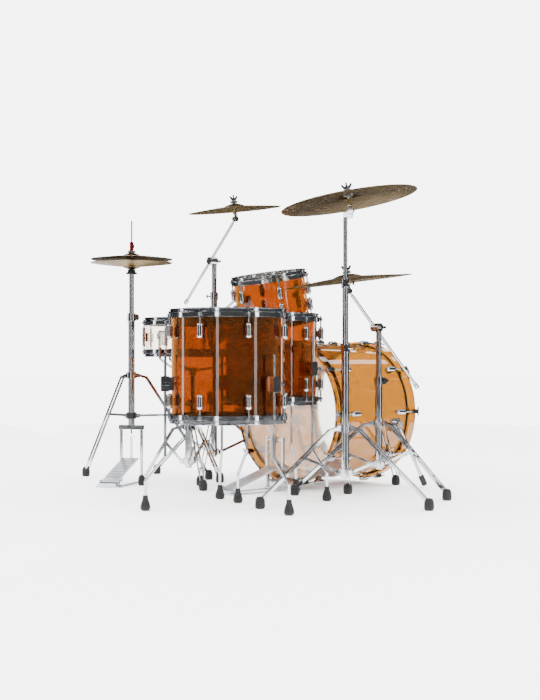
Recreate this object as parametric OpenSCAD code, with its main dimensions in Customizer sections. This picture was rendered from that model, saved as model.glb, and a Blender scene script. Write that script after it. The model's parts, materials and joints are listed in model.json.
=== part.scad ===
/* [Bass drum] */
// Diameter of the bass drum shell
bass_d = 559; // [550:1:565]
// Depth of the bass drum shell
bass_depth = 406; // [380:1:430]
// Height of the bass drum's axis above the floor
bass_z = 315; // [312:1:325]
// Tension rods on each end of the bass drum
bass_rods = 10; // [8:2:10]

/* [Toms and snare] */
// Diameter of the large floor tom
floor16_d = 406; // [400:1:410]
// Depth of the large floor tom
floor16_h = 381; // [340:1:390]
// Diameter of the small floor tom
floor14_d = 356; // [350:1:358]
// Depth of the small floor tom
floor14_h = 330; // [300:1:340]
// Diameter of the rack tom
tom_d = 305; // [300:1:308]
// Depth of the rack tom
tom_h = 203; // [180:1:210]
// Diameter of the snare drum
snare_d = 356; // [350:1:358]
// Depth of the snare drum
snare_h = 140; // [120:1:150]
// Wall of the acrylic shells
shell_wall = 6; // [5:0.5:7]
// Height of the upper bearing edge of both floor toms
floor_tom_top = 699; // [690:1:705]
// Tilt of the rack tom toward the player
tom_tilt = 10; // [5:1:15]

/* [Cymbals] */
// Diameter of the right crash cymbal
crash_right_d = 508; // [460:1:510]
// Diameter of the ride cymbal
ride_d = 508; // [460:1:510]
// Diameter of the left crash cymbal
crash_left_d = 406; // [350:1:410]
// Diameter of both hi-hat cymbals
hat_d = 356; // [330:1:358]
// Thickness of the cymbals
cymbal_t = 1.6; // [1.2:0.1:2]

/* [Stands] */
// Radius of a cymbal stand's foot circle
foot_circle = 345; // [335:1:350]
// Height of the leg hub on the cymbal stands
hub_z = 280; // [270:1:290]
// Outer radius of the lower tubes
tube_r = 14.3; // [14:0.1:15]
// Outer radius of the middle tubes
mid_r = 11.1; // [10.8:0.1:11.2]
// Outer radius of the upper tubes
top_r = 7.9; // [7.7:0.1:8]
// Radius of the boom arms
boom_r = 6.35; // [6:0.05:6.4]

/* [Hidden] */
$fn = 64;

// Middle of the kit's floor plan, measured from the foot of the batter hoop
kit_mid = [-74.3, -206.2];

// Places on the floor: x to the player's right, y toward the audience
floor16_at = [345, -617, floor_tom_top - floor16_h];
floor14_at = [152, -226, floor_tom_top - floor14_h];
snare_at = [-361, -223, 555];
tom_at = [-185, 108, 688];
hat_at = [-684, -280];
crash_right_at = [543, -218];
ride_at = [376, 150];
crash_left_at = [-560, 88];
crash_right_turn = 12;
ride_turn = 0;
crash_left_turn = 70;
snare_turn = 98;

// Drum fittings
lug_out = 15;
ear_r = 8;
rod_r = 3;
lug_r = 11;
lug_low = -84;
lug_h = 33;
tube_lug_r = 7;
film = 0.5;
leg_rod_r = 5;
fit_gap = 0.06;
leg_out = 25;
leg_kick = 70;
floor16_legs_at = [3, 145, 241];
floor16_kicks = [3, 145, 241];
floor14_legs_at = [-70, 7, 113];
floor14_kicks = [-70, 7, -30];
bracket_h = 54;
bass_hoop_out = 32;
bass_lug_out = 18;

// Cymbal holders: [height of pivot, lean angle, lean direction]
holder_h = 46;
felt_low = 54;
crash_right_lean = [1080, 9.7, 214];
ride_lean = [801, 7, 243];
crash_left_lean = [1148, 6.5, 267];
boom_side = 21;
ride_boom_set = [660, 43, -90, 150, 350];
crash_left_boom_set = [975, 46, 0, 168, 250];

// Hi-hat heights
hat_hub = 464;
hat_turn = -58;
pedal_len = 250;

function rim(d) = d / 2;
function unit(a, b) = (b - a) / norm(b - a);
function side(a, b) = let(u = unit(a, b)) [-u[1], u[0]];
function joint_side(p, i) =
    i == 0 ? side(p[0], p[1])
    : i == len(p) - 1 ? side(p[i - 1], p[i])
    : let(s = side(p[i - 1], p[i]) + side(p[i], p[i + 1])) s / (s * side(p[i], p[i + 1]));
function band(p, w) = concat(
    [for (i = [0:len(p) - 1]) p[i] + joint_side(p, i) * w],
    [for (i = [len(p) - 1:-1:0]) p[i] - joint_side(p, i) * w]);

module on_floor(at, turn = 0) translate([at[0], at[1], len(at) > 2 ? at[2] : 0]) rotate(turn) children();
module ring(n, first = 0) for (i = [0:n - 1]) rotate(first + i * 360 / n) children();
module both_ends(h) {
    translate([0, 0, h]) children();
    mirror([0, 0, 1]) children();
}
module tube(r, bore, h) difference() {
    cylinder(r = r, h = h);
    translate([0, 0, -1]) cylinder(r = bore, h = h + 2);
}
module rod(a, b, r) {
    d = b - a;
    translate(a) rotate([0, acos(d[2] / norm(d)), atan2(d[1], d[0])]) cylinder(r = r, h = norm(d), $fn = 32);
}
module bar(path, r) for (i = [0:len(path) - 2]) {
    rod(path[i], path[i + 1], r);
    if (i > 0) translate(path[i]) sphere(r = r + 0.2, $fn = 32);
}

// ---- drums ----
module drum_shell(d, h) tube(rim(d), rim(d) - shell_wall, h);

// Film with its collar and the flesh hoop that grips it
module head(d) rotate_extrude($fn = 96) let(r = rim(d)) polygon([[0, 0], [r + 0.4, 0], [r + 0.4, -12],
    [r + 6, -12], [r + 6, -4.5], [r + 1.2, -4.5], [r + 1.2, film], [0, film]]);
module drum_heads(d, h) both_ends(h) head(d);

module hoop(d, n, first) difference() {
    union() {
        rotate_extrude($fn = 96) let(r = rim(d)) polygon([[r + 2, -4.2], [r + 7, -4.2],
            [r + 7, -20], [r + 10.5, -20], [r + 10.5, -3], [r + 5, 1], [r + 5, 8.5],
            [r + 8, 9.5], [r + 8, 12], [r + 2, 12]]);
        ring(n, first) translate([rim(d) + lug_out, 0, -16]) cylinder(r = ear_r, h = 10, $fn = 32);
    }
    ring(n, first) translate([rim(d) + lug_out, 0, -17]) cylinder(r = rod_r + 0.4, h = 12, $fn = 32);
}
module drum_hoops(d, h, n, first) both_ends(h) hoop(d, n, first);

// One lug with its foot on the shell, and the tension rod that screws into it
module lug(r, out, reach) {
    translate([r + out, 0, lug_low]) {
        cylinder(r = lug_r, h = lug_h, $fn = 32);
        sphere(r = lug_r, $fn = 32);
        translate([0, 0, lug_h]) sphere(r = lug_r, $fn = 32);
    }
    translate([r - 1, -7, lug_low + 4]) cube([out, 14, lug_h - 8]);
    translate([r + out, 0, -60]) cylinder(r = rod_r, h = 54 + reach, $fn = 32);
}
module rod_head(r, out) translate([r + out, 0, -6]) {
    cylinder(r = 4.3, h = 2, $fn = 32);
    cylinder(r = 4.1, h = 9, $fn = 4);
}
module drum_lugs(d, h, n, first) both_ends(h) ring(n, first) {
    lug(rim(d), lug_out, 0);
    rod_head(rim(d), lug_out);
}
module bass_place() translate([0, bass_hoop_out, bass_z]) rotate([-90, 0, 0]) children();

module bass_shell() color("#b5651d", 0.6) bass_place() drum_shell(bass_d, bass_depth);
module bass_heads() color("white", 0.3) bass_place() drum_heads(bass_d, bass_depth);
module bass_hoops() color("#b5651d", 0.8) bass_place() both_ends(bass_depth)
    rotate_extrude($fn = 96) translate([rim(bass_d) + 2, -4.2]) square([13, bass_hoop_out + 4.2]);
module bass_lugs() color("silver") {
    bass_place() both_ends(bass_depth) ring(bass_rods) lug(rim(bass_d), bass_lug_out + 3, bass_hoop_out + 10);
    spur_bracket();
    mirror([1, 0, 0]) spur_bracket();
}
module bass_claws() color("silver") bass_place() both_ends(bass_depth) ring(bass_rods)
    translate([rim(bass_d), 0, 0]) {
        difference() {
            translate([15.4, -9, 2]) cube([11.6, 18, bass_hoop_out + 2]);
            translate([bass_lug_out + 3, 0, 0]) cylinder(r = rod_r + 0.4, h = 60, $fn = 32);
        }
        translate([6, -7, bass_hoop_out + 0.4]) cube([10.4, 14, 3.6]);
        translate([bass_lug_out + 3, 0, bass_hoop_out + 4]) {
            cylinder(r = 5, h = 6, $fn = 32);
            translate([0, 18, 6]) rotate([90, 0, 0]) cylinder(r = 3.2, h = 36, $fn = 32);
        }
    }

// ---- bass drum spurs ----
spur_pivot = [rim(bass_d) + 6, 350, 262];
spur_dir = [0.13, 0.43, -0.893];
spur_len = 290;
module spur_bracket() difference() {
    union() {
        translate(spur_pivot) rotate([0, 90, 0]) cylinder(r = 20, h = 12);
        translate(spur_pivot) rotate([0, 90, 0]) cylinder(r = 5, h = 38);
        translate(spur_pivot + [-44, -26, -26]) cube([52, 52, 52]);
    }
    translate([0, 0, bass_z]) rotate([-90, 0, 0])
        cylinder(r = rim(bass_d) - 1, h = bass_depth + 60, $fn = 96);
}
module spur() translate(spur_pivot + [12.3, 0, 0]) difference() {
    union() {
        rotate([0, 90, 0]) cylinder(r = 17, h = 18);
        rod([9, 0, 0], [9, 0, 0] + spur_dir * (spur_len - 16), 6.5);
        rod([9, 0, 0] + spur_dir * (spur_len - 50), [9, 0, 0] + spur_dir * (spur_len - 8), 12);
    }
    translate([-1, 0, 0]) rotate([0, 90, 0]) cylinder(r = 5 + fit_gap, h = 22);
}
module spur_right() color("silver") spur();
module spur_left() color("silver") mirror([1, 0, 0]) spur();

// ---- floor toms ----
module foot_profile() polygon([[0, 0], [12, 0], [17, 5], [18, 14], [15, 26], [10, 42], [9, 54], [0, 54]]);
module floor_leg(d, at, kick, top) rotate(at) translate([rim(d) + leg_out, 0, 0]) rotate(kick - at)
    bar([[0, 0, top], [0, 0, 190], [leg_kick, 0, 105], [leg_kick, 0, 40]], leg_rod_r);
module floor_foot(d, at, kick) rotate(at) translate([rim(d) + leg_out, 0, 0]) rotate(kick - at)
    translate([leg_kick, 0, 0]) rotate_extrude($fn = 32) foot_profile();
module leg_bracket(d, at) rotate(at) translate([rim(d), 0, 0]) difference() {
    union() {
        translate([leg_out - 13, -18, 0]) cube([26, 36, bracket_h]);
        translate([-1, -14, 3]) cube([leg_out - 6, 28, bracket_h - 6]);
        translate([leg_out, 0, bracket_h / 2]) rotate([-90, 0, 0]) cylinder(r = 4, h = 36, $fn = 32);
        translate([leg_out - 14, 32, bracket_h / 2 - 6]) cube([28, 4, 12]);
    }
    translate([leg_out, 0, -1]) cylinder(r = leg_rod_r + fit_gap, h = bracket_h + 2);
}
bracket_z = 101;
module floor_at(at) translate([at[0], at[1], 0]) children();

module floor16_shell() color("#9c3f0e", 0.7) on_floor(floor16_at) drum_shell(floor16_d, floor16_h);
module floor16_heads() color("white", 0.3) on_floor(floor16_at) drum_heads(floor16_d, floor16_h);
module floor16_hoops() color("silver") on_floor(floor16_at) drum_hoops(floor16_d, floor16_h, 8, 22.5);
module floor16_lugs() color("silver") on_floor(floor16_at) drum_lugs(floor16_d, floor16_h, 8, 22.5);
module floor16_legs() color("silver") floor_at(floor16_at) for (i = [0:2])
    floor_leg(floor16_d, floor16_legs_at[i], floor16_kicks[i], 548);
module floor16_feet() color("#222") floor_at(floor16_at) for (i = [0:2])
    floor_foot(floor16_d, floor16_legs_at[i], floor16_kicks[i]);
module floor14_shell() color("#9c3f0e", 0.7) on_floor(floor14_at) drum_shell(floor14_d, floor14_h);
module floor14_heads() color("white", 0.3) on_floor(floor14_at) drum_heads(floor14_d, floor14_h);
module floor14_hoops() color("silver") on_floor(floor14_at) drum_hoops(floor14_d, floor14_h, 8, 0);
module floor14_lugs() color("silver") on_floor(floor14_at) drum_lugs(floor14_d, floor14_h, 8, 0);
module floor14_legs() color("silver") floor_at(floor14_at) for (i = [0:2])
    floor_leg(floor14_d, floor14_legs_at[i], floor14_kicks[i], 620);
module floor14_feet() color("#222") floor_at(floor14_at) for (i = [0:2])
    floor_foot(floor14_d, floor14_legs_at[i], floor14_kicks[i]);
module leg_brackets() color("silver") {
    on_floor(floor16_at) translate([0, 0, bracket_z]) for (a = floor16_legs_at) leg_bracket(floor16_d, a);
    on_floor(floor14_at) translate([0, 0, bracket_z]) for (a = floor14_legs_at) leg_bracket(floor14_d, a);
}

// ---- rack tom and its arm ----
module tom_place() translate(tom_at) rotate([tom_tilt, 0, 0]) children();
module tom_shell() color("#b5651d", 0.6) tom_place() drum_shell(tom_d, tom_h);
module tom_heads() color("white", 0.3) tom_place() drum_heads(tom_d, tom_h);
module tom_hoops() color("silver") tom_place() drum_hoops(tom_d, tom_h, 6, 30);
tom_pivot_x = -rim(tom_d) - 32;
module tom_lugs() color("silver") tom_place() {
    drum_lugs(tom_d, tom_h, 6, 30);
    difference() {
        translate([tom_pivot_x - 6, -14, tom_h / 2 - 14]) cube([28, 28, 28]);
        translate([tom_pivot_x - 8, 0, tom_h / 2]) rotate([0, 90, 0]) cylinder(r = boom_r + fit_gap, h = 22);
    }
    translate([-rim(tom_d) - 11, -17, tom_h / 2 - 22]) cube([12, 34, 44]);
}
tom_pivot = tom_at + [tom_pivot_x, -sin(tom_tilt) * tom_h / 2, cos(tom_tilt) * tom_h / 2];
module tom_arm() color("silver") {
    bar([tom_pivot + [12, 0, 0], tom_pivot - [60, 0, 0],
        [crash_left_at[0] + 62, crash_left_at[1], tom_pivot[2] - 40],
        [crash_left_at[0] + 26, crash_left_at[1], tom_pivot[2] - 40]], boom_r);
    translate([crash_left_at[0], crash_left_at[1], tom_pivot[2] - 62]) difference() {
        union() {
            cylinder(r = 21, h = 44);
            translate([12, -14, 6]) cube([26, 28, 32]);
            translate([-16, 0, 22]) rotate([90, 0, 0]) cylinder(r = 5, h = 46, $fn = 32);
            translate([-30, -46, 16]) cube([28, 4, 12]);
        }
        translate([0, 0, -1]) cylinder(r = tube_r + fit_gap, h = 46);
    }
}

// ---- snare drum and stand ----
module snare_shell() color("#f3e9dc", 0.6) on_floor(snare_at) drum_shell(snare_d, snare_h);
module snare_heads() color("white", 0.5) on_floor(snare_at) drum_heads(snare_d, snare_h);
module snare_hoops() color("silver") on_floor(snare_at) drum_hoops(snare_d, snare_h, 8, 22.5);
module snare_lugs() color("silver") on_floor(snare_at) {
    ring(8, 22.5) {
        translate([rim(snare_d) + lug_out, 0, 34])
            cylinder(r = tube_lug_r, h = snare_h - 68, $fn = 32);
        for (z = [34, snare_h - 34]) translate([rim(snare_d) + lug_out, 0, z])
            sphere(r = tube_lug_r, $fn = 32);
        translate([rim(snare_d) - 1, -4, snare_h / 2 - 18]) cube([lug_out, 8, 36]);
    }
    both_ends(snare_h) ring(8, 22.5) {
        translate([rim(snare_d) + lug_out, 0, -36]) cylinder(r = rod_r, h = 30, $fn = 32);
        rod_head(rim(snare_d), lug_out);
    }
    strainer();
}
wire_len = 300;
module snare_wires() color("silver") on_floor(snare_at) translate([0, 0, -film - 2.4]) {
    for (i = [-9.5:9.5]) translate([-wire_len / 2, i * 2.2, 0]) rotate([0, 90, 0])
        cylinder(r = 0.7, h = wire_len, $fn = 16);
    for (s = [-1, 1]) translate([s * wire_len / 2 - 8, -24, -1.2]) cube([16, 48, 2]);
}
lever_pivot = [-rim(snare_d) - 24, 0, 82];
module strainer() {
    translate([-rim(snare_d) - 16, -16, 40]) cube([17, 32, 62]);
    for (s = [-1, 1]) translate([-rim(snare_d) - 34, s * 10 - 2, 66]) cube([19, 4, 28]);
    translate(lever_pivot + [0, 12, 0]) rotate([90, 0, 0]) cylinder(r = 3, h = 24, $fn = 32);
    translate([rim(snare_d) - 1, -14, 44]) cube([18, 28, 46]);
}
module strainer_lever() color("silver") on_floor(snare_at) translate(lever_pivot) rotate([90, 0, 0])
    translate([0, 0, -7.5]) difference() {
        union() {
            cylinder(r = 7, h = 15, $fn = 32);
            translate([-6, -62, 2]) cube([7, 62, 11]);
        }
        translate([0, 0, -1]) cylinder(r = 3 + fit_gap, h = 17, $fn = 32);
    }

snare_hub = 250;
snare_collar = 104;
snare_foot_r = 200;
snare_join = 330;
basket_r = rim(snare_d) + 21;
module snare_basket() color("silver") floor_at(snare_at) {
    translate([0, 0, 200]) tube(mid_r, mid_r - 2, 280);
    translate([0, 0, 470]) cylinder(r = 20, h = 28);
    ring(3, 45) {
        bar([[13, 0, 486], [120, 0, 500], [basket_r, 0, 535], [basket_r, 0, 565]], 5);
        translate([basket_r, 0, 550]) cylinder(r = 8, h = 30, $fn = 32);
    }
}

// ---- tripods ----
// One leg: two flat bars joined by three pins
module tripod_leg(hub, r) {
    path = [[30, hub], [66, hub - 10], [r - 8, 34]];
    for (s = [-1, 1]) rotate([90, 0, 0]) translate([0, 0, s * 8 - 1.5])
        linear_extrude(3) polygon(band(path, 5.5));
    for (u = [0.5, 0.8]) translate([u * r, -8, hub - 10 - (u * r - 66) * (hub - 44) / (r - 74)])
        rotate([-90, 0, 0]) cylinder(r = 3, h = 16, $fn = 24);
}
// The brace runs from the fixed collar to the leg's middle pin
module tripod_brace(hub, collar, r) difference() {
    end = [0.5 * r, hub - 10 - (0.5 * r - 66) * (hub - 44) / (r - 74)];
    way = unit([30, collar], end) * 6;
    rotate([90, 0, 0]) translate([0, 0, -5])
        linear_extrude(10) polygon(band([[30, collar] - way, end + way], 5));
    translate([30, -10, collar]) rotate([-90, 0, 0]) cylinder(r = 3, h = 20, $fn = 24);
    translate([end[0], -10, end[1]]) rotate([-90, 0, 0]) cylinder(r = 3.1, h = 20, $fn = 24);
}
// Collar with three forks that carry the legs or the braces
module fork_collar(z, w) translate([0, 0, z - 14]) difference() {
    union() {
        cylinder(r = 22, h = 28);
        ring(3) for (s = [-1, 1]) translate([10, s * w - 1.5, 4]) cube([26, 3, 18]);
        ring(3) translate([30, -w - 2.2, 14]) rotate([-90, 0, 0])
            cylinder(r = 2.6, h = 2 * w + 4.4, $fn = 24);
    }
    translate([0, 0, -1]) cylinder(r = tube_r + 0.2, h = 30);
}
// Split collar with a wing bolt, clamping the tube that slides inside it
module height_clamp(bore, outer, turn) rotate(turn) difference() {
    union() {
        cylinder(r = outer, h = 34);
        translate([outer - 6, -8, 4]) cube([18, 16, 26]);
        translate([outer + 6, 0, 17]) rotate([-90, 0, 0]) cylinder(r = 3.5, h = 30, $fn = 24);
        translate([outer - 6, 26, 10]) cube([26, 4, 14]);
    }
    translate([0, 0, -1]) cylinder(r = bore, h = 36);
}
module tripod(hub, collar, r) {
    ring(3) { tripod_leg(hub, r); tripod_brace(hub, collar, r); }
    fork_collar(hub, 4);
    fork_collar(collar, 8);
}
tube_bottom = 96;
module cymbal_stand(top, turn, clamp_turn) {
    rotate(turn) tripod(hub_z, 118, foot_circle);
    translate([0, 0, tube_bottom]) tube(tube_r, mid_r + fit_gap, top - tube_bottom);
    translate([0, 0, top + 0.2]) height_clamp(mid_r + fit_gap, 18, clamp_turn);
}
module stand_foot(r) translate([r, 0, 0]) rotate_extrude($fn = 32)
    polygon([[0, 0], [13, 0], [17, 4], [18, 14], [17, 30], [13, 42], [0, 45]]);

// ---- cymbals and their holders ----
module lean(set) rotate(set[2]) rotate([0, set[1], 0]) children();
function bow(r, big, bell) = r < bell
    ? 22 - 13 * pow(r / bell, 2)
    : 9 - 9 * pow((r - bell) / (big - bell), 1.25) - (big - bell) * 0.045 * (r - bell) / (big - bell);
module cymbal(d) {
    bell = rim(d) * 0.23;
    radii = [for (i = [0:6]) 7 + (bell - 7) * i / 6, for (i = [1:10]) bell + (rim(d) - bell) * i / 10];
    rotate_extrude($fn = 96) polygon(concat(
        [for (r = radii) [r, bow(r, rim(d), bell)]],
        [for (i = [len(radii) - 1:-1:0]) [radii[i], bow(radii[i], rim(d), bell) - cymbal_t]]));
}
// Half of a toothed tilter with its sleeve, felts and wing nut
module holder() {
    rotate([-90, 0, 0]) translate([0, 0, 0.3]) cylinder(r = 12, h = 9);
    translate([-5, 0.8, 4]) cube([10, 6, 20]);
    translate([0, 0, 20]) cylinder(r = 4.2, h = 86, $fn = 32);
    translate([0, 0, 18]) cylinder(r = 9, h = felt_low - 18);
    translate([0, 0, felt_low]) cylinder(r = 17, h = 10);
    translate([0, 0, holder_h + 22.6]) cylinder(r = 17, h = 10);
    translate([0, 0, holder_h + 32.6]) cylinder(r = 8, h = 12, $fn = 32);
    translate([-18, -3, holder_h + 38]) cube([36, 6, 13]);
}
module tilter_base() rotate([90, 0, 0]) translate([0, 0, 0.3]) cylinder(r = 12, h = 9);
// The right crash's tilter pivots to one side of its tube
tilter_side = 20;
module crash_right_head() translate([crash_right_at[0], crash_right_at[1], crash_right_lean[0]])
    rotate(crash_right_lean[2]) translate([-tilter_side, 0, 0])
        rotate([0, crash_right_lean[1], 0]) children();

crash_right_join = [556, 795];
module crash_right_stand() color("silver") on_floor(crash_right_at)
    cymbal_stand(crash_right_join[0], crash_right_turn, -40);
module crash_right_mid() color("silver") on_floor(crash_right_at) {
    low = crash_right_join[0] - 180;
    translate([0, 0, low]) tube(mid_r, top_r + fit_gap, crash_right_join[1] - low);
    translate([0, 0, crash_right_join[1] + 0.2]) height_clamp(top_r + fit_gap, 15, -40);
}
module crash_right_top() color("silver") on_floor(crash_right_at) {
    low = crash_right_join[1] - 180;
    translate([0, 0, low]) cylinder(r = top_r, h = crash_right_lean[0] - 24 - low);
    translate([0, 0, crash_right_lean[0]]) rotate(crash_right_lean[2]) {
        translate([-tilter_side, 0, 0]) tilter_base();
        translate([-tilter_side - 8, -9.1, -28]) cube([tilter_side + 16, 8.6, 24]);
    }
}
module crash_right_tilter() color("silver") crash_right_head() holder();
module crash_right_cymbal() color("#b89b5e") crash_right_head()
    translate([0, 0, holder_h]) cymbal(crash_right_d);

// ---- booms: [pivot height, rise angle, direction, reach, tail] ----
function boom_dir(set) = [cos(set[2]) * cos(set[1]), sin(set[2]) * cos(set[1]), sin(set[1])];
function boom_off(set) = [sin(set[2]), -cos(set[2]), 0] * boom_side;
function boom_end(at, set) = [at[0], at[1], set[0]] + boom_off(set) + boom_dir(set) * set[3] / cos(set[1]);
module boom_arm(at, set, lean_set) {
    centre = [at[0], at[1], set[0]];
    tip = boom_end(at, set);
    base = [sin(lean_set[2]), -cos(lean_set[2]), 0] * 4.8;
    tail = centre + boom_off(set) - boom_dir(set) * set[4];
    rod(tail, tip - boom_dir(set) * 24, boom_r);
    rod(tail - boom_dir(set) * 8, tail + boom_dir(set) * 14, 9);
    rod(tip - boom_dir(set) * 26, tip + base, 4.5);
    translate(centre) rotate(set[2]) rotate([90, 0, 0]) translate([0, 0, 10.3]) cylinder(r = 17, h = 21);
    translate(tip) rotate(lean_set[2]) tilter_base();
}
// The half of the knuckle that the mast carries, with its wing bolt
module knuckle(turn) rotate(turn) {
    rotate([90, 0, 0]) translate([0, 0, -10]) cylinder(r = 17, h = 20);
    translate([-9, -8, -24]) cube([18, 16, 20]);
    rotate([-90, 0, 0]) translate([0, 0, 9]) cylinder(r = 4, h = 16, $fn = 24);
    translate([-14, 24, -5]) cube([28, 4, 10]);
}
module mast(join, set) {
    translate([0, 0, join - 180]) cylinder(r = mid_r, h = set[0] - join + 162);
    translate([0, 0, set[0]]) knuckle(set[2]);
}

ride_join = 430;
ride_tip = boom_end(ride_at, ride_boom_set);
module ride_stand() color("silver") on_floor(ride_at) cymbal_stand(ride_join, ride_turn, 40);
module ride_mast() color("silver") on_floor(ride_at) mast(ride_join, ride_boom_set);
module ride_boom() color("silver") boom_arm(ride_at, ride_boom_set, ride_lean);
module ride_tilter() color("silver") translate(ride_tip) lean(ride_lean) holder();
module ride_cymbal() color("#b89b5e") translate(ride_tip) lean(ride_lean)
    translate([0, 0, holder_h]) cymbal(ride_d);

crash_left_join = 800;
crash_left_tip = boom_end(crash_left_at, crash_left_boom_set);
module crash_left_stand() color("silver") on_floor(crash_left_at)
    cymbal_stand(crash_left_join, crash_left_turn, 150);
module crash_left_mast() color("silver") on_floor(crash_left_at) mast(crash_left_join, crash_left_boom_set);
module crash_left_boom() color("silver") boom_arm(crash_left_at, crash_left_boom_set, crash_left_lean);
module crash_left_tilter() color("silver") translate(crash_left_tip) lean(crash_left_lean) holder();
module crash_left_cymbal() color("#b89b5e") translate(crash_left_tip) lean(crash_left_lean)
    translate([0, 0, holder_h]) cymbal(crash_left_d);

module snare_stand() color("silver") on_floor([snare_at[0], snare_at[1]]) {
    rotate(snare_turn) tripod(snare_hub, snare_collar, snare_foot_r);
    translate([0, 0, 78]) tube(tube_r, mid_r + fit_gap, snare_join - 78);
    translate([0, 0, snare_join + 0.2]) height_clamp(mid_r + fit_gap, 18, 200);
}

// ---- hi-hat ----
hat_collar = 288;
hat_join = 700;
hat_yoke = 236;
hat_half = 47;
hat_seat = 925;
hat_open = 17;
hat_low = hat_seat + 22.3;
hat_lip = (rim(hat_d) * 0.77) * 0.045;
hat_high = hat_low + 2 * hat_lip + hat_open;
heel_z = 20;
module hat_place() translate([hat_at[0], hat_at[1], 0]) rotate(hat_turn) children();
// A pedal's floor frame: heel block, base rods and hinge ears
module pedal_base(len, half) {
    for (s = [-1, 1]) translate([0, s * half - 5, 0]) cube([len - 20, 10, 5]);
    translate([len - 34, -half - 5, 0]) cube([60, 2 * half + 10, 6]);
    translate([len + 8, -half + 8, 6.3]) cube([20, 2 * half - 16, 12]);
    for (s = [-1, 1]) translate([len - 8, s * (half - 6) - 2.5, 5.5]) cube([16, 5, 24]);
    translate([len, -half + 2, heel_z]) rotate([-90, 0, 0]) cylinder(r = 3, h = 2 * half - 4, $fn = 32);
}
// The footboard rises from the heel hinge to its toe
module footboard(len, toe_z, toe_x, half) difference() {
    slope = atan2(toe_z - heel_z, len - toe_x);
    long = norm([len - toe_x, toe_z - heel_z]);
    translate([len, 0, heel_z]) rotate([0, slope, 0]) translate([-long, -half + 10, -2]) union() {
        cube([long - 12, 2 * half - 20, 7]);
        translate([long - 14, 0, -4]) cube([20, 2 * half - 20, 11]);
        for (i = [1:7]) translate([i * long / 9, 6, 7]) cube([9, 2 * half - 32, 1.6]);
    }
    translate([len, -half, heel_z]) rotate([-90, 0, 0]) cylinder(r = 3 + fit_gap, h = 2 * half, $fn = 32);
}
module chain(x, low, high) for (z = [low + 6:9:high - 4]) translate([x, 0, z]) {
    for (s = [-1, 1]) translate([-2.4, s * 3.4 - 0.7, -5.2]) cube([4.8, 1.4, 8.6]);
    translate([0, -4.5, 0]) rotate([-90, 0, 0]) cylinder(r = 2.2, h = 9, $fn = 16);
}
hat_toe = [12, 100];
module hat_stand() color("silver") {
    hat_place() {
        rotate(-hat_turn) for (a = [180, 62]) rotate(a) {
            tripod_leg(hat_hub, foot_circle);
            tripod_brace(hat_hub, hat_collar, foot_circle);
        }
        rotate(-hat_turn + 62) hat_collars();
        translate([0, 0, hat_yoke + 10.3]) tube(tube_r, mid_r + fit_gap, hat_join - hat_yoke - 10.3);
        translate([0, 0, hat_join + 0.2]) height_clamp(mid_r + fit_gap, 18, 120);
        difference() {
            translate([-12, -hat_half - 8, hat_yoke - 8]) cube([24, 2 * hat_half + 16, 18]);
            translate([0, 0, hat_yoke - 20]) cylinder(r = 5, h = 40, $fn = 32);
        }
        for (s = [-1, 1]) translate([0, s * hat_half, 5.3]) cylinder(r = 6.5, h = hat_yoke - 13.6);
        pedal_base(pedal_len, hat_half);
    }
}
module hat_collars() for (set = [[hat_hub, 4], [hat_collar, 8]]) translate([0, 0, set[0] - 14]) difference() {
    union() {
        cylinder(r = 22, h = 28);
        for (a = [0, 118]) rotate(a) {
            for (s = [-1, 1]) translate([10, s * set[1] - 1.5, 4]) cube([26, 3, 18]);
            translate([30, -set[1] - 2.2, 14]) rotate([-90, 0, 0])
                cylinder(r = 2.6, h = 2 * set[1] + 4.4, $fn = 24);
        }
    }
    translate([0, 0, -1]) cylinder(r = tube_r + 0.2, h = 30);
}
module hat_footboard() color("silver") hat_place() footboard(pedal_len, hat_toe[1], hat_toe[0], hat_half);
module hat_chain() color("silver") hat_place() chain(0, hat_toe[1] - 10, 206);
module hat_tube() color("silver") hat_place() difference() {
    union() {
        translate([0, 0, hat_join - 180]) cylinder(r = mid_r, h = 905 - hat_join + 180);
        translate([0, 0, 905]) cylinder(r = 24, h = 8);
        translate([0, 0, 912]) cylinder(r = 17, h = hat_seat - 912);
    }
    translate([0, 0, 400]) cylinder(r = 4.5, h = 600, $fn = 32);
}
module hat_rod() color("silver") hat_place() {
    translate([0, 0, 208]) cylinder(r = 3.5, h = 930, $fn = 32);
    translate([0, 0, hat_high + 4]) cylinder(r = 8, h = 8);
    translate([0, 0, hat_high + 11.5]) cylinder(r = 15, h = 6.5);
    translate([0, 0, hat_high + 22.4]) cylinder(r = 17, h = 8);
    translate([0, 0, hat_high + 30.4]) cylinder(r = 8.5, h = 38);
    translate([0, 0, hat_high + 48]) rotate([0, 90, 40]) cylinder(r = 3, h = 26, $fn = 24);
    translate([0, 0, hat_high + 48]) rotate(40) translate([20, -2, -8]) cube([12, 4, 16]);
}
module hat_bottom() color("#b89b5e") hat_place() translate([0, 0, hat_low]) mirror([0, 0, 1]) cymbal(hat_d);
module hat_top() color("#b89b5e") hat_place() translate([0, 0, hat_high]) cymbal(hat_d);

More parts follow.
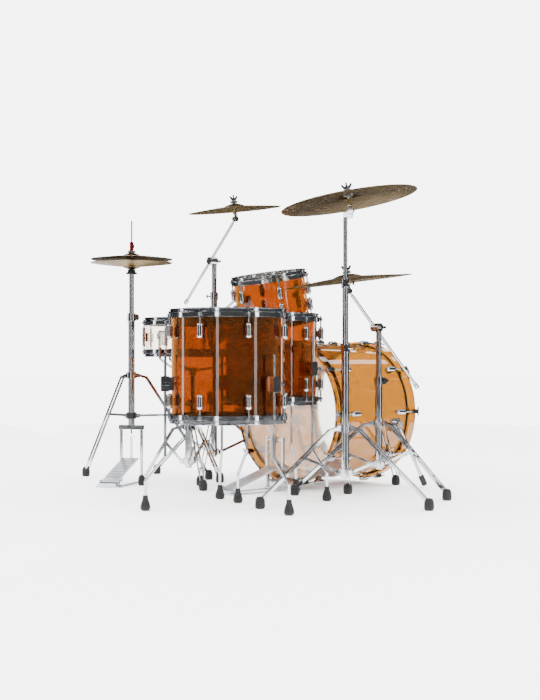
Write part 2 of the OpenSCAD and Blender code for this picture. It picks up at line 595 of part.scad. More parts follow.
// ---- bass drum pedal ----
kick_len = 250;
kick_front = -62;
axle_z = 205;
beater_tilt = -32;
beater_len = 134;
kick_half = 46;
kick_toe = [14, 92];
module kick_place() translate([0, kick_front, 0]) rotate(-90) children();
module kick_base() color("silver") kick_place() {
    pedal_base(kick_len, kick_half);
    for (s = [-1, 1]) translate([-6, s * kick_half - 5, 5.3]) difference() {
        cube([12, 10, axle_z + 6]);
        translate([6, -1, axle_z - 5.3]) rotate([-90, 0, 0]) cylinder(r = 5 + fit_gap, h = 12, $fn = 32);
    }
    translate([-10, -kick_half - 5, 5.3]) cube([22, 2 * kick_half + 10, 6]);
    translate([-84, -16, 5.3]) cube([76, 32, 6]);
    translate([-84, -16, 11.3]) cube([14, 32, 6.4]);
}
module kick_footboard() color("silver") kick_place() footboard(kick_len, kick_toe[1], kick_toe[0], kick_half);
module kick_chain() color("silver") kick_place() chain(18.5, kick_toe[1] + 12, axle_z + 8);
module kick_beater() color("silver") kick_place() translate([0, 0, axle_z]) {
    translate([0, -kick_half - 8, 0]) rotate([-90, 0, 0]) cylinder(r = 5, h = 2 * kick_half + 16, $fn = 32);
    translate([0, -4, 0]) rotate([-90, 0, 0]) cylinder(r = 15, h = 8);
    translate([0, -12, 0]) rotate([-90, 0, 0]) cylinder(r = 10, h = 24);
    rotate([0, -beater_tilt, 0]) {
        translate([0, -10, -16]) cylinder(r = 3.5, h = beater_len + 16, $fn = 32);
        translate([-20, -10, beater_len]) rotate([0, 90, 0]) cylinder(r = 24, h = 40);
    }
}

// ---- rubber feet of every stand ----
module stand_feet() color("#222") {
    for (set = [[crash_right_at, crash_right_turn, foot_circle], [ride_at, ride_turn, foot_circle],
        [crash_left_at, crash_left_turn, foot_circle], [snare_at, snare_turn, snare_foot_r]])
        translate([set[0][0], set[0][1], 0]) rotate(set[1]) ring(3) stand_foot(set[2]);
    translate([hat_at[0], hat_at[1], 0]) for (a = [180, 62]) rotate(a) stand_foot(foot_circle);
}

module centred() translate([-kit_mid[0], -kit_mid[1], 0]) children();

centred() bass_shell();
centred() bass_heads();
centred() bass_hoops();
centred() bass_lugs();
centred() bass_claws();
centred() spur_right();
centred() spur_left();
centred() kick_base();
centred() kick_footboard();
centred() kick_chain();
centred() kick_beater();
centred() floor16_shell();
centred() floor16_heads();
centred() floor16_hoops();
centred() floor16_lugs();
centred() floor16_legs();
centred() floor16_feet();
centred() floor14_shell();
centred() floor14_heads();
centred() floor14_hoops();
centred() floor14_lugs();
centred() floor14_legs();
centred() floor14_feet();
centred() leg_brackets();
centred() tom_shell();
centred() tom_heads();
centred() tom_hoops();
centred() tom_lugs();
centred() tom_arm();
centred() snare_shell();
centred() snare_heads();
centred() snare_hoops();
centred() snare_lugs();
centred() snare_wires();
centred() strainer_lever();
centred() snare_stand();
centred() snare_basket();
centred() hat_stand();
centred() hat_tube();
centred() hat_footboard();
centred() hat_chain();
centred() hat_rod();
centred() hat_bottom();
centred() hat_top();
centred() crash_right_stand();
centred() crash_right_mid();
centred() crash_right_top();
centred() crash_right_tilter();
centred() crash_right_cymbal();
centred() ride_stand();
centred() ride_mast();
centred() ride_boom();
centred() ride_tilter();
centred() ride_cymbal();
centred() crash_left_stand();
centred() crash_left_mast();
centred() crash_left_boom();
centred() crash_left_tilter();
centred() crash_left_cymbal();
centred() stand_feet();
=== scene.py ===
import json
import math
import bmesh
import bpy
from mathutils import Matrix, Vector


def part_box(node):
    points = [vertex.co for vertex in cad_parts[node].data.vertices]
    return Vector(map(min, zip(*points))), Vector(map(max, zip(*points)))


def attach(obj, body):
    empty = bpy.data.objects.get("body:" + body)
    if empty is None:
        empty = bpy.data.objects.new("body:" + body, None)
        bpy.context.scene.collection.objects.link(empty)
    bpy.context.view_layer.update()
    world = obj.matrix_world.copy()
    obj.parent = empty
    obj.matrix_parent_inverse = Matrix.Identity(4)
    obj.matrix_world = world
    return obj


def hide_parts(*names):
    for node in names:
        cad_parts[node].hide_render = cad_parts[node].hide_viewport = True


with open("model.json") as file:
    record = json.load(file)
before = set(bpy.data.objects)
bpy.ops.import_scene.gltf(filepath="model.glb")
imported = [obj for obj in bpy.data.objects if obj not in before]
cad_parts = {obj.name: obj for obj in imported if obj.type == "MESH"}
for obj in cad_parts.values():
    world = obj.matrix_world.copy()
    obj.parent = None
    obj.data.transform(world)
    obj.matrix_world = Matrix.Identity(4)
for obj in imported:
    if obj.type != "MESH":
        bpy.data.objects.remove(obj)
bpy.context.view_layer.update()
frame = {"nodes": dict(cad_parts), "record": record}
behaviour = frame["record"]["behaviour"]
joints = {joint["name"]: joint for joint in behaviour["joints"]}
bodyOf = {node: body for body, nodes in behaviour["bodies"].items() for node in nodes}
print("frame loaded:", len(frame["nodes"]), "nodes")


def hexColour(text):
    # sRGB hex to the linear values that the shaders take
    parts = [int(text[i:i + 2], 16) / 255 for i in (1, 3, 5)]
    return [c / 12.92 if c <= 0.04045 else ((c + 0.055) / 1.055) ** 2.4 for c in parts] + [1.0]


def grey(value):
    return [value, value, value, 1.0]


def socketKey(name):
    # a socket is found by its number or by its name
    return int(name) if name.isdigit() else name


def addNode(owner, kind, settings=None, links=None):
    # one node, its settings ("in:" marks the value of an input), and what feeds its inputs
    node = owner.node_tree.nodes.new(kind)
    for name, value in (settings or {}).items():
        if name.startswith("in:"):
            node.inputs[socketKey(name[3:])].default_value = value
        else:
            setattr(node, name, value)
    for name, source in (links or {}).items():
        owner.node_tree.links.new(source, node.inputs[socketKey(name)])
    return node


def newMaterial(name, surface):
    material = bpy.data.materials.new(name)
    material.use_nodes = True
    material.node_tree.nodes.clear()
    shader = addNode(material, "ShaderNodeBsdfPrincipled", {"in:" + k: v for k, v in surface.items()})
    addNode(material, "ShaderNodeOutputMaterial", None, {"Surface": shader.outputs[0]})
    return material, shader


def feed(material, shader, sources):
    # joins each node's first output to an input of the surface shader
    for name, node in sources.items():
        material.node_tree.links.new(node.outputs[0], shader.inputs[name])


def addNoise(material, scale, detail, stretch=(1, 1, 1), distortion=0.0):
    # noise in object space, closer together along an axis with a larger stretch
    place = addNode(material, "ShaderNodeTexCoord")
    mapped = addNode(material, "ShaderNodeMapping", {"in:Scale": stretch},
                     {"Vector": place.outputs["Object"]})
    return addNode(material, "ShaderNodeTexNoise",
                   {"in:Scale": scale, "in:Detail": detail, "in:Distortion": distortion},
                   {"Vector": mapped.outputs[0]})


def addRamp(owner, source, stops):
    # a colour ramp fed by one value
    node = addNode(owner, "ShaderNodeValToRGB", None, {"Fac": source})
    ramp = node.color_ramp
    while len(ramp.elements) < len(stops):
        ramp.elements.new(0.5)
    for element, (at, colour) in zip(ramp.elements, stops):
        element.position = at
        element.color = colour
    return node


def addBump(material, height, strength, distance):
    return addNode(material, "ShaderNodeBump", {"in:Strength": strength, "in:Distance": distance},
                   {"Height": height})


def platedChrome():
    # bright nickel-chrome plate on buffed steel: mirror-like, with faint polishing haze
    material, shader = newMaterial("platedChrome", {"Base Color": hexColour("#BABDC1"), "Metallic": 1.0,
                                                    "Specular Tint": hexColour("#7C7F84"),
                                                    "Roughness": 0.08})
    haze = addNoise(material, 45.0, 3.0)
    spread = addRamp(material, haze.outputs["Fac"], [(0.35, grey(0.045)), (0.7, grey(0.13))])
    # buffed edges about 0.7 mm round catch a thin highlight
    edge = addNode(material, "ShaderNodeBevel", {"samples": 4, "in:Radius": 0.0007})
    feed(material, shader, {"Roughness": spread, "Normal": edge})
    return material


def brushedMetal(name, tint, rough):
    # satin rolled metal: fine lengthwise scratches about 0.6 mm apart, drawn coarse enough to show
    material, shader = newMaterial(name, {"Base Color": hexColour(tint), "Metallic": 1.0,
                                          "Roughness": rough})
    lines = addNoise(material, 1.0, 4.0, (1600, 60, 60))
    spread = addRamp(material, lines.outputs["Fac"],
                     [(0.3, grey(rough - 0.1)), (0.75, grey(rough + 0.14))])
    bump = addBump(material, lines.outputs["Fac"], 0.12, 0.0003)
    feed(material, shader, {"Roughness": spread, "Normal": bump})
    return material


def castAcrylic(name, light, deep):
    # tinted cast acrylic, polished: clear and glossy, with slow streaks of deeper dye
    material, shader = newMaterial(name, {"Base Color": hexColour(light), "Roughness": 0.025, "IOR": 1.49,
                                          "Transmission Weight": 1.0, "Specular IOR Level": 0.5})
    streak = addNoise(material, 3.0, 2.0, (1, 1, 0.35))
    dye = addRamp(material, streak.outputs["Fac"], [(0.3, hexColour(light)), (0.72, hexColour(deep))])
    ripple = addNoise(material, 14.0, 1.0)
    bump = addBump(material, ripple.outputs["Fac"], 0.08, 0.0006)
    feed(material, shader, {"Base Color": dye, "Normal": bump})
    return material


def polyesterFilm(name, tint, clear, rough):
    # stretched polyester film: thin, slightly wavy, a little hazier where sticks have landed
    material, shader = newMaterial(name, {"Base Color": hexColour(tint), "Roughness": rough, "IOR": 1.3,
                                          "Transmission Weight": clear, "Specular IOR Level": 0.5})
    wear = addNoise(material, 22.0, 5.0)
    spread = addRamp(material, wear.outputs["Fac"], [(0.35, grey(rough)), (0.75, grey(rough + 0.12))])
    bump = addBump(material, wear.outputs["Fac"], 0.05, 0.0004)
    feed(material, shader, {"Roughness": spread, "Normal": bump})
    return material


def mouldedBlack(name, rough, grains):
    # moulded black rubber or nylon: dull, fine-grained, dusty on its high spots
    material, shader = newMaterial(name, {"Base Color": hexColour("#0F0F0F"), "Roughness": rough,
                                          "Specular IOR Level": 0.35})
    grain = addNoise(material, grains, 3.0)
    dust = addRamp(material, grain.outputs["Fac"],
                   [(0.35, hexColour("#0C0C0C")), (0.8, hexColour("#1C1B1B"))])
    bump = addBump(material, grain.outputs["Fac"], 0.3, 0.0004)
    feed(material, shader, {"Base Color": dust, "Normal": bump})
    return material


def pressedFelt(name, tint, shade):
    # pressed wool felt: fuzzy, matt, mottled fibres about a millimetre long
    material, shader = newMaterial(name, {"Base Color": hexColour(tint), "Roughness": 0.95,
                                          "Sheen Weight": 0.5, "Sheen Roughness": 0.5,
                                          "Specular IOR Level": 0.15})
    fibre = addNoise(material, 900.0, 6.0, distortion=0.6)
    mottle = addRamp(material, fibre.outputs["Fac"], [(0.3, hexColour(shade)), (0.7, hexColour(tint))])
    bump = addBump(material, fibre.outputs["Fac"], 0.6, 0.0008)
    feed(material, shader, {"Base Color": mottle, "Normal": bump})
    return material


# tones run from the middle of the bell, at 0, to the edge of the cymbal, at 1; the bell's dark tones are
# painted shade of its hollow
bronze = {"pitch": 0.0021, "grooveShare": 0.35, "bandScale": 60.0, "hammerScale": 48.0, "bandFade": 0.55,
          "bellShadeAndTones": [(0.0, "#4E3F24"), (0.21, "#5E4C2A"), (0.25, "#957A3E"), (0.8, "#8A6F35"),
                    (1.0, "#735A28")],
          "bands": [(0.3, "#A39274"), (0.7, "#FFFFFF")], "rough": [(0.3, 0.2), (0.75, 0.4)]}


def lathedBronze(name, centre, normal, radius):
    # cast B20 bronze: concentric lathe cuts about 2 mm apart, hammer marks, and a bell painted darker as
    # painted shade of its hollow
    material, shader = newMaterial(name, {"Base Color": hexColour("#B79A62"), "Metallic": 1.0,
                                          "Roughness": 0.28})
    place = addNode(material, "ShaderNodeTexCoord").outputs["Object"]
    offset = addNode(material, "ShaderNodeVectorMath", {"operation": "SUBTRACT", "in:1": centre},
                     {"0": place})
    along = addNode(material, "ShaderNodeVectorMath", {"operation": "DOT_PRODUCT", "in:1": normal},
                    {"0": offset.outputs[0]})
    lift = addNode(material, "ShaderNodeVectorMath", {"operation": "SCALE", "in:0": normal},
                   {"Scale": along.outputs["Value"]})
    flat = addNode(material, "ShaderNodeVectorMath", {"operation": "SUBTRACT"},
                   {"0": offset.outputs[0], "1": lift.outputs[0]})
    away = addNode(material, "ShaderNodeVectorMath", {"operation": "LENGTH"}, {"0": flat.outputs[0]})
    rings = addNode(material, "ShaderNodeMath",
                    {"operation": "MULTIPLY", "in:1": 2 * math.pi / bronze["pitch"]},
                    {"0": away.outputs["Value"]})
    groove = addNode(material, "ShaderNodeMath", {"operation": "SINE"}, {"0": rings.outputs[0]})
    share = addNode(material, "ShaderNodeMath", {"operation": "DIVIDE", "in:1": radius},
                    {"0": away.outputs["Value"]})
    bands = addNode(material, "ShaderNodeTexNoise",
                    {"noise_dimensions": "1D", "in:Scale": bronze["bandScale"], "in:Detail": 6.0},
                    {"W": share.outputs[0]})
    marks = addNode(material, "ShaderNodeTexVoronoi", {"in:Scale": bronze["hammerScale"]},
                    {"Vector": flat.outputs[0]})
    # the dark tones at the bell in this ramp are painted shade
    body = addRamp(material, share.outputs[0], [(at, hexColour(tint)) for at, tint in bronze["bellShadeAndTones"]])
    shade = addRamp(material, bands.outputs["Fac"], [(at, hexColour(tint)) for at, tint in bronze["bands"]])
    tone = addNode(material, "ShaderNodeMix",
                   {"data_type": "RGBA", "blend_type": "MULTIPLY", "in:Factor": bronze["bandFade"]},
                   {"6": body.outputs[0], "7": shade.outputs[0]})
    height = addNode(material, "ShaderNodeMath",
                     {"operation": "MULTIPLY_ADD", "in:1": bronze["grooveShare"]},
                     {"0": groove.outputs[0], "2": marks.outputs["Distance"]})
    bump = addBump(material, height.outputs[0], 0.35, 0.0006)
    spread = addRamp(material, bands.outputs["Fac"], [(at, grey(value)) for at, value in bronze["rough"]])
    material.node_tree.links.new(tone.outputs[2], shader.inputs["Base Color"])
    feed(material, shader, {"Normal": bump, "Roughness": spread})
    return material


chrome = platedChrome()
steel = brushedMetal("brushedSteel", "#B9BCC1", 0.3)
redAnodised = brushedMetal("redAnodisedAluminium", "#8E1420", 0.25)
# the floor toms' copy of the amber acrylic, its dye darker as painted shade
floorTomShadedAcrylic = castAcrylic("amberAcrylicFloorTomShade", "#A0682F", "#8E5524")
amberAcrylic = castAcrylic("amberAcrylic", "#A0661F", "#935A17")
# the bass drum's copy of the amber acrylic, its dye darker as painted shade
bassShadedAcrylic = castAcrylic("amberAcrylicBassShade", "#835114", "#79490E")
clearAcrylic = castAcrylic("clearAcrylic", "#F6F1E8", "#EFE7DA")
clearFilm = polyesterFilm("clearFilm", "#F7F6F2", 0.96, 0.05)
coatedFilm = polyesterFilm("coatedFilm", "#ECEAE4", 0.25, 0.5)
rubber = mouldedBlack("mouldedRubber", 0.62, 700.0)
nylon = mouldedBlack("blackNylon", 0.34, 180.0)
greyFelt = pressedFelt("greyFelt", "#8B8884", "#5A5856")
blackFelt = pressedFelt("blackFelt", "#2A2929", "#151515")
print("materials made")

finishOf = {"amber_acrylic": amberAcrylic, "clear_acrylic": clearAcrylic, "clear_film": clearFilm,
            "coated_film": coatedFilm, "rubber": rubber, "chrome": chrome, "steel": steel}
slotOf = {part["node"]: part["material_slot"] for part in frame["record"]["subparts"]}


def dress(node, material):
    # a carried-over part in one material
    mesh = frame["nodes"][node].data
    mesh.materials.clear()
    mesh.materials.append(material)


for node, slot in slotOf.items():
    if slot in finishOf:
        dress(node, finishOf[slot])
# the floor toms take the copy of the amber acrylic that is darker as painted shade
for node in ("floor16_shell", "floor14_shell"):
    dress(node, floorTomShadedAcrylic)
# the bass drum's shell and hoops take the copy of the amber acrylic that is darker as painted shade
for node in ("bass_shell", "bass_hoops"):
    dress(node, bassShadedAcrylic)


def jointFrame(name):
    # a joint's place and direction
    joint = joints[name]
    return Vector(joint.get("pos_m", (0, 0, 0))), Vector(joint["axis"]).normalized()


# each cymbal, and the joint it spins on where it has one
cymbals = {"crash_right_cymbal": "crash_right_spin", "ride_cymbal": "ride_spin",
           "crash_left_cymbal": "crash_left_spin", "hat_top": None, "hat_bottom": None}
for node, spin in cymbals.items():
    low, high = (Vector(v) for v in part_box(node))
    if spin:
        centre, normal = jointFrame(spin)
    else:
        centre, normal = (low + high) / 2, Vector((0, 0, 1))
    radius = max(high - low) / 2
    dress(node, lathedBronze(node + "Bronze", centre, normal, radius))
print("carried-over parts dressed")


def paintFaces(node, material, wanted):
    # give the faces whose centres pass the test a second material
    mesh = frame["nodes"][node].data
    mesh.materials.append(material)
    last = len(mesh.materials) - 1
    for face in mesh.polygons:
        if wanted(face.center):
            face.material_index = last


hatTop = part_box("hat_top")
rodAxis = (hatTop[0] + hatTop[1]) / 2
cymbalTop = hatTop[1].z
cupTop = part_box("hat_bottom")[0].z
# node, material, the height to measure from, the bands above it, and the distances from the rod:
# the sleeve where the braces meet the tube, the seat cup, the clutch's felts and the clutch's nut
hatBands = [("hat_stand", nylon, 0.288, [(-0.016, 0.016)], (0, 0.0228)),
            ("hat_tube", nylon, cupTop, [(-0.022, 0.002)], (0, 0.0245)),
            ("hat_rod", blackFelt, cymbalTop, [(-0.013, -0.0035), (0.0001, 0.0088)], (0.0095, 0.0175)),
            ("hat_rod", redAnodised, cymbalTop, [(0.0086, 0.05)], (0.0045, 0.0087))]


def inBands(zero, heights, reach):
    # a test for points within the bands round the hi-hat's rod
    def test(point):
        out = (point - rodAxis).to_2d().length
        rise = point.z - zero
        return reach[0] <= out < reach[1] and any(low < rise < high for low, high in heights)
    return test


for node, material, zero, heights, reach in hatBands:
    paintFaces(node, material, inBands(zero, heights, reach))

accents = {"fleshHoop": 0.0008, "spurTip": 0.036, "beaterFelt": 0.105}
# the black flesh hoops that grip the bass heads
bassLow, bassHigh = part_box("bass_shell")
bassAxis = (bassLow + bassHigh) / 2
hoopInside = (bassHigh.z - bassLow.z) / 2 + accents["fleshHoop"]
paintFaces("bass_heads", nylon,
           lambda point: math.hypot(point.x - bassAxis.x, point.z - bassAxis.z) > hoopInside)
for spur in ("spur_right", "spur_left"):
    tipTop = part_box(spur)[0].z + accents["spurTip"]
    paintFaces(spur, rubber, lambda point: point.z < tipTop)
pedalAxle = jointFrame("kick_beater_swing")[0]
paintFaces("kick_beater", greyFelt, lambda point: (point - pedalAxle).length > accents["beaterFelt"])
print("felts, cups and tips painted")


def ringFaces(rings, steps):
    # the quads between rings of points
    faces = []
    for k in range(rings - 1):
        for i in range(steps):
            j = (i + 1) % steps
            faces.append((k * steps + i, k * steps + j, (k + 1) * steps + j, (k + 1) * steps + i))
    return faces


def capFaces(rings, steps):
    # the two faces that close a stack of rings
    return [tuple(reversed(range(steps))), tuple((rings - 1) * steps + i for i in range(steps))]


def turned(profile, steps=40):
    # a solid turned round its own Z from (radius, height) pairs, closed at both ends
    verts = []
    for radius, height in profile:
        for i in range(steps):
            turn = 2 * math.pi * i / steps
            verts.append((radius * math.cos(turn), radius * math.sin(turn), height))
    return verts, ringFaces(len(profile), steps) + capFaces(len(profile), steps)


def plate(outline, thick):
    # a flat outline given thickness along Z, centred on it
    n = len(outline)
    verts = [(x, y, z) for z in (-thick / 2, thick / 2) for x, y in outline]
    return verts, ringFaces(2, n) + capFaces(2, n)


def swept(points, radius, steps):
    # a round wire along a line of points
    verts = []
    side = None
    for k, point in enumerate(points):
        here = Vector(point)
        ahead = Vector(points[min(k + 1, len(points) - 1)]) - Vector(points[max(k - 1, 0)])
        ahead.normalize()
        if side is None:
            side = ahead.orthogonal().normalized()
        side = (side - ahead * side.dot(ahead)).normalized()
        up = ahead.cross(side)
        for i in range(steps):
            turn = 2 * math.pi * i / steps
            verts.append(tuple(here + (side * math.cos(turn) + up * math.sin(turn)) * radius))
    return verts, ringFaces(len(points), steps) + capFaces(len(points), steps)


def assembled(name, body, parts, place=None):
    # parts: (shape, material, matrix or None); the piece then rides on its body
    mesh = bpy.data.meshes.new(name)
    build = bmesh.new()
    used = []
    for (verts, faces), material, matrix in parts:
        if material not in used:
            used.append(material)
        added = [build.verts.new((matrix @ Vector(v)) if matrix else v) for v in verts]
        for face in faces:
            made = build.faces.new([added[i] for i in face])
            made.material_index = used.index(material)
            made.smooth = len(face) == 4
    bmesh.ops.recalc_face_normals(build, faces=build.faces)
    build.to_mesh(mesh)
    build.free()
    for material in used:
        mesh.materials.append(material)
    # edges sharper than this many degrees stay crisp
    mesh.set_sharp_from_angle(angle=math.radians(35))
    piece = bpy.data.objects.new(name, mesh)
    bpy.context.scene.collection.objects.link(piece)
    if place:
        piece.matrix_world = place
    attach(piece, body)
    return piece


def shift(x=0, y=0, z=0):
    return Matrix.Translation((x, y, z))


def turnedTo(angle, axis):
    return Matrix.Rotation(math.radians(angle), 4, axis)


def framed(across, along, outward, origin):
    # the matrix of a piece whose X, Y and Z point these ways
    place = Matrix((across, along, outward)).transposed().to_4x4()
    place.translation = origin
    return place


# profiles are (radius, height) pairs from the tilter's pivot, the disc's on its side;
# the neck is a flat outline, and the ear's points are shares of its span and rise
holder = {"disc": [(0.0008, 0.0003), (0.0118, 0.0003), (0.0122, 0.0012), (0.0122, 0.0080),
                   (0.0108, 0.0093), (0.0008, 0.0093)],
          "neck": [(-0.005, 0.004), (0.005, 0.004), (0.0058, 0.023), (-0.0058, 0.023)],
          "neckThick": 0.006, "neckAside": 0.0038,
          "seat": [(0.0064, 0.018), (0.0088, 0.0195), (0.0088, 0.026), (0.0066, 0.030), (0.0062, 0.046),
                   (0.0150, 0.0495), (0.0150, 0.0532), (0.006, 0.0538)],
          "sleeve": [(0.0048, 0.0538), (0.0048, 0.0795)],
          "washer": [(0.0045, 0.0788), (0.0128, 0.0788), (0.0128, 0.0800), (0.0045, 0.0803)],
          "nut": [(0.0045, 0.0803), (0.0088, 0.0803), (0.0084, 0.086), (0.0072, 0.0925), (0.0045, 0.0928)],
          "felt": 0.0168, "feltBore": 0.0052, "feltTall": 0.0094, "feltLows": (0.0542, 0.0690),
          "ear": [(0.1, 0.0), (0.3, 0.05), (0.42, 0.4), (0.5, 0.8), (0.47, 1.0), (0.38, 1.02),
                  (0.27, 0.72), (0.14, 0.5)],
          "earSpan": 0.041, "earRise": 0.019, "earThick": 0.0048, "earLow": 0.0815,
          "rod": 0.0040, "rodLow": 0.0925, "rodTop": 0.106, "pitch": 0.0015, "threadDeep": 0.0005}


def feltRing(radius, bore, tall):
    # a felt disc with softened rims
    return turned([(bore, 0.0006), (radius - 0.0016, 0), (radius - 0.0004, 0.0012), (radius, tall * 0.5),
                   (radius - 0.0004, tall - 0.0012), (radius - 0.0016, tall), (bore, tall - 0.0006)])


def threadedRod(radius, low, high, pitch, deep):
    # crests and roots by turns, and a chamfered end
    profile = [(radius, low)]
    for k in range(int((high - low) / pitch)):
        profile += [(radius, low + (k + 0.2) * pitch), (radius - deep, low + (k + 0.6) * pitch)]
    return turned(profile + [(radius, high - 0.0008), (radius - 0.001, high)], 20)


def wingEars(ear, span, rise):
    # the outline of a wing nut's two ears, from the points of one
    right = [(x * span, y * rise) for x, y in ear]
    return right + [(-x, y) for x, y in reversed(right)]


def holderPiece(stand):
    # what holds a cymbal: tilter disc, neck, seat, sleeve, felts, washer, wing nut and threaded rod
    pivot, across = jointFrame(stand + "_tilt")
    upward = jointFrame(stand + "_spin")[1]
    place = framed(across.cross(upward), across, upward, pivot)
    h = holder
    onSide = turnedTo(90, "X")
    parts = [(turned(h["disc"], 24), chrome, turnedTo(-90, "X")),
             (plate(h["neck"], h["neckThick"]), chrome, shift(y=h["neckAside"]) @ onSide),
             (turned(h["seat"]), chrome, None),
             (turned(h["sleeve"], 24), nylon, None)]
    for low in h["feltLows"]:
        parts.append((feltRing(h["felt"], h["feltBore"], h["feltTall"]), blackFelt, shift(z=low)))
    parts += [(turned(h["washer"], 32), chrome, None),
              (turned(h["nut"], 32), nylon, None),
              (plate(wingEars(h["ear"], h["earSpan"], h["earRise"]), h["earThick"]), nylon,
               shift(z=h["earLow"]) @ onSide),
              (threadedRod(h["rod"], h["rodLow"], h["rodTop"], h["pitch"], h["threadDeep"]), chrome, None)]
    piece = assembled(stand + "HolderPiece", bodyOf[stand + "_tilter"], parts, place)
    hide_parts(stand + "_tilter")


for stand in ("crash_right", "ride", "crash_left"):
    holderPiece(stand)
print("cymbal holders made")

foot = {"ribs": 5, "first": 0.009, "gap": 0.0055, "bead": 0.0012, "sunk": 0.0015, "steps": 28,
        "level": 1e-5}


def looseParts(mesh):
    # the points of each part of a mesh that hangs together
    build = bmesh.new()
    build.from_mesh(mesh)
    bmesh.ops.remove_doubles(build, verts=build.verts, dist=1e-6)
    seen, parts = set(), []
    for start in build.verts:
        if start in seen:
            continue
        seen.add(start)
        stack, part = [start], []
        while stack:
            vert = stack.pop()
            part.append(vert.co.copy())
            for edge in vert.link_edges:
                other = edge.other_vert(vert)
                if other not in seen:
                    seen.add(other)
                    stack.append(other)
        parts.append(part)
    build.free()
    return parts


def radiusAt(points, x, y, height):
    # a foot's radius at a height, between the rings of points next above and below it
    above = [v for v in points if v.z >= height] or points
    below = [v for v in points if v.z <= height]
    up = min(v.z for v in above)
    down = max(v.z for v in below)
    upR = max(math.hypot(v.x - x, v.y - y) for v in above if v.z < up + foot["level"])
    downR = max(math.hypot(v.x - x, v.y - y) for v in below if v.z > down - foot["level"])
    share = (height - down) / max(up - down, 1e-6)
    return downR + (upR - downR) * min(share, 1)


def footPiece(node):
    # ribs moulded round each foot of a node
    bead, sunk = foot["bead"], foot["sunk"]
    parts = []
    for points in looseParts(frame["nodes"][node].data):
        x, y = ((min(v[i] for v in points) + max(v[i] for v in points)) / 2 for i in (0, 1))
        low = min(v.z for v in points)
        for k in range(foot["ribs"]):
            height = low + foot["first"] + k * foot["gap"]
            radius = radiusAt(points, x, y, height)
            rib = [(radius - sunk, -bead), (radius + bead * 0.5, -bead * 0.7), (radius + bead, 0),
                   (radius + bead * 0.5, bead * 0.7), (radius - sunk, bead)]
            parts.append((turned(rib, foot["steps"]), rubber, shift(x, y, height)))
    piece = assembled(node + "Ribs", bodyOf[node], parts)


for node in ("stand_feet", "floor16_feet", "floor14_feet"):
    footPiece(node)
print("feet ribbed")

# rings are pairs of (share of the outline, or of the vent's radius) and height above the shell
badge = {"wide": 0.044, "tall": 0.026, "square": 0.8, "steps": 40, "vent": 0.0085, "flat": 0.93,
         "rings": [(1.0, 0.0002), (1.0, 0.0016), (0.93, 0.0022), (0.88, 0.0016), (0.86, 0.0011),
                   (0.3, 0.0011)],
         "ventRings": [(0.62, 0.0006), (1.0, 0.0006), (1.0, 0.0022), (0.85, 0.0034), (0.66, 0.0030),
                       (0.62, 0.0008)]}
# the turn round each drum's axis at which its badge stands
badgeTurns = {"floor16_shell": 90, "floor14_shell": 90, "tom_shell": 90, "snare_shell": 90,
              "bass_shell": 270}


def shellAxis(node):
    # the way a standing drum's flat rims face; the bass drum lies along Y
    if node == "bass_shell":
        return Vector((0, 1, 0))
    total = Vector()
    for face in frame["nodes"][node].data.polygons:
        if face.normal.z > badge["flat"]:
            total += face.normal * face.area
    return total.normalized()


def badgeOutline():
    # a squared oval, one step of its turn at a time
    outline = []
    for k in range(badge["steps"]):
        turn = 2 * math.pi * k / badge["steps"]
        waves = (math.cos(turn), math.sin(turn))
        x, y = (math.copysign(abs(wave) ** badge["square"], wave) for wave in waves)
        outline.append((badge["wide"] / 2 * x, badge["tall"] / 2 * y))
    return outline


def badgePiece(node, turn):
    # a plate bent to the shell, with a raised rim, and a vent through its middle
    low, high = (Vector(v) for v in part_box(node))
    centre, axis = (low + high) / 2, shellAxis(node)
    start = Vector((1, 0, 0))
    side = (start - axis * start.dot(axis)).normalized()
    outward = Matrix.Rotation(math.radians(turn), 3, axis) @ side
    offsets = [v.co - centre for v in frame["nodes"][node].data.vertices]
    radius = max((offset - axis * offset.dot(axis)).length for offset in offsets)
    place = framed(axis.cross(outward), axis, outward, centre + outward * radius)
    verts = []
    for scale, lift in badge["rings"]:
        for x, y in badgeOutline():
            bend = math.sqrt(radius * radius - x * scale * x * scale)
            verts.append((x * scale, y * scale, lift - radius + bend))
    face = (verts, ringFaces(len(badge["rings"]), badge["steps"]))
    vent = turned([(badge["vent"] * scale, height) for scale, height in badge["ventRings"]], 32)
    piece = assembled(node + "Badge", bodyOf[node], [(face, steel, None), (vent, chrome, None)], place)


for node, turn in badgeTurns.items():
    badgePiece(node, turn)
print("badges made")

spring = {"coil": 0.0075, "wire": 0.0011, "turns": 13, "perTurn": 14, "hook": 0.10, "hookShare": 0.7,
          "aside": 0.003, "drop": 0.006, "low": 0.062}


def coilSpring(name, top, bottom, node):
    # a close coil with straight wire at both ends
    top, bottom = Vector(top), Vector(bottom)
    line = bottom - top
    down = line.normalized()
    side = down.orthogonal().normalized()
    other = down.cross(side)
    steps = spring["turns"] * spring["perTurn"]
    end = line * spring["hook"] * spring["hookShare"]
    points = [top, top + end]
    for k in range(steps + 1):
        along = spring["hook"] + (1 - 2 * spring["hook"]) * k / steps
        turn = 2 * math.pi * k / spring["perTurn"]
        out = (side * math.cos(turn) + other * math.sin(turn)) * spring["coil"]
        points.append(top + line * along + out)
    points += [bottom - end, bottom]
    piece = assembled(name, bodyOf[node], [(swept(points, spring["wire"], 6), steel, None)])


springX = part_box("kick_beater")[0].x + spring["aside"]
coilSpring("kickSpring", (springX, pedalAxle.y, pedalAxle.z - spring["drop"]),
           (springX, pedalAxle.y, spring["low"]), "kick_base")
print("spring made")

stage = {"half": 30.0, "paint": "#FAFAF9", "rough": 0.6, "sky": 6.4, "zenith": 0.92}


def newObject(name, data):
    # an object linked to the scene
    thing = bpy.data.objects.new(name, data)
    bpy.context.scene.collection.objects.link(thing)
    return thing


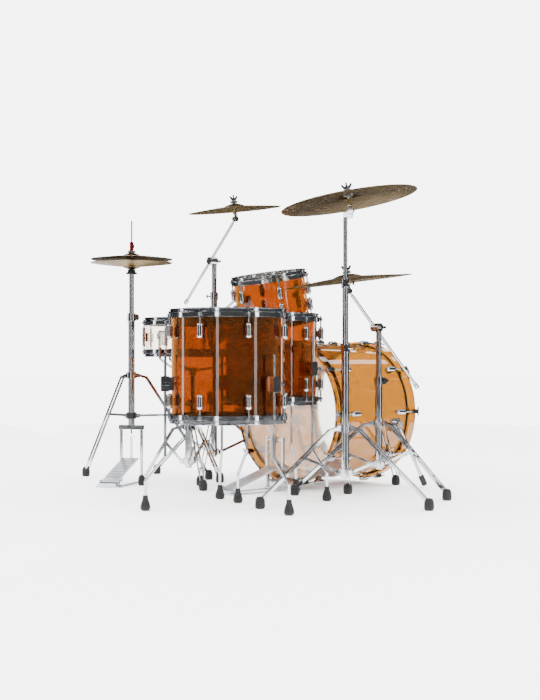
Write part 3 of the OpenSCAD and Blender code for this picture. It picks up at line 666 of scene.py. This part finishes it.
squareCorners = ((-1, -1), (1, -1), (1, 1), (-1, 1))
floorMesh = bpy.data.meshes.new("studioFloor")
floorMesh.from_pydata([(x * stage["half"], y * stage["half"], 0) for x, y in squareCorners],
                      [], [(0, 1, 2, 3)])
floor = newObject("studioFloor", floorMesh)
floorPaint, _ = newMaterial("studioPaint", {"Base Color": hexColour(stage["paint"]),
                                            "Roughness": stage["rough"], "Specular IOR Level": 0.3})
floorMesh.materials.append(floorPaint)

world = bpy.data.worlds.new("studioWorld")
bpy.context.scene.world = world
world.use_nodes = True
world.node_tree.nodes.clear()
direction = addNode(world, "ShaderNodeTexCoord")
split = addNode(world, "ShaderNodeSeparateXYZ", None, {"0": direction.outputs["Generated"]})
sky = addRamp(world, split.outputs["Z"], [(0.0, grey(1.0)), (0.6, grey(1.0)), (1.0, grey(stage["zenith"]))])
glow = addNode(world, "ShaderNodeBackground", {"in:Strength": stage["sky"]}, {"Color": sky.outputs[0]})
addNode(world, "ShaderNodeOutputWorld", None, {"Surface": glow.outputs[0]})

# dark studio flags that only polished surfaces see, so that their curves read against white
flagPaint, _ = newMaterial("flagCloth", {"Base Color": hexColour("#161616"), "Roughness": 1.0})
# walls are arcs in degrees; roof panels are (x, y, width, depth)
flags = {"away": 5.5, "height": 3.6, "low": 0.02, "near": 1.75, "ground": 0.004, "steps": 12,
         "walls": [(0, 78), (84, 148), (153, 224), (231, 292), (297, 356)],
         "roof": [(-2.3, 0.0, 3.9, 9.0), (2.3, 0.4, 4.1, 9.0)]}


def flag(name, corners, faces):
    mesh = bpy.data.meshes.new(name)
    mesh.from_pydata(corners, [], faces)
    mesh.materials.append(flagPaint)
    panel = newObject(name, mesh)
    for ray in ("camera", "diffuse", "transmission", "shadow"):
        setattr(panel, "visible_" + ray, False)


def arcFlag(name, start, end, edges):
    # a curved strip between two edges, each a (distance, height) pair
    steps = flags["steps"]
    turns = [math.radians(start + (end - start) * k / steps) for k in range(steps + 1)]
    corners = [(away * math.sin(turn), away * math.cos(turn), z) for turn in turns for away, z in edges]
    flag(name, corners, [(2 * k, 2 * k + 2, 2 * k + 3, 2 * k + 1) for k in range(steps)])


for start, end in flags["walls"]:
    arcFlag("wallFlag", start, end, [(flags["away"], flags["low"]), (flags["away"], flags["height"])])
    arcFlag("groundFlag", start, end, [(flags["near"], flags["ground"]), (flags["away"], flags["ground"])])
for x, y, wide, deep in flags["roof"]:
    corners = [(x + wide * i / 2, y + deep * j / 2, flags["height"]) for i, j in squareCorners]
    flag("roofFlag", corners, [(0, 1, 2, 3)])

lights = {"keyLight": ((-2.5, -2.5, 3.6), 2.0, 120), "fillLight": ((3.2, 0.6, 3.0), 1.5, 80)}
aim = Vector((0, 0, 0.5))
for name, (place, size, power) in lights.items():
    lamp = bpy.data.lights.new(name, "AREA")
    lamp.size = size
    lamp.energy = power
    rig = newObject(name, lamp)
    rig.location = place
    rig.rotation_euler = (aim - Vector(place)).to_track_quat("-Z", "Y").to_euler()

view = {"place": (3.7953, -3.3548, 0.530), "turn": 47.0, "lift": 0.46, "lens": 64.3}
camera = newObject("camera", bpy.data.cameras.new("camera"))
camera.data.lens = view["lens"]
camera.data.sensor_width = 36
camera.location = view["place"]
camera.rotation_euler = (math.radians(90 + view["lift"]), 0, math.radians(view["turn"]))
bpy.context.scene.camera = camera
print("stage, lights and camera set")
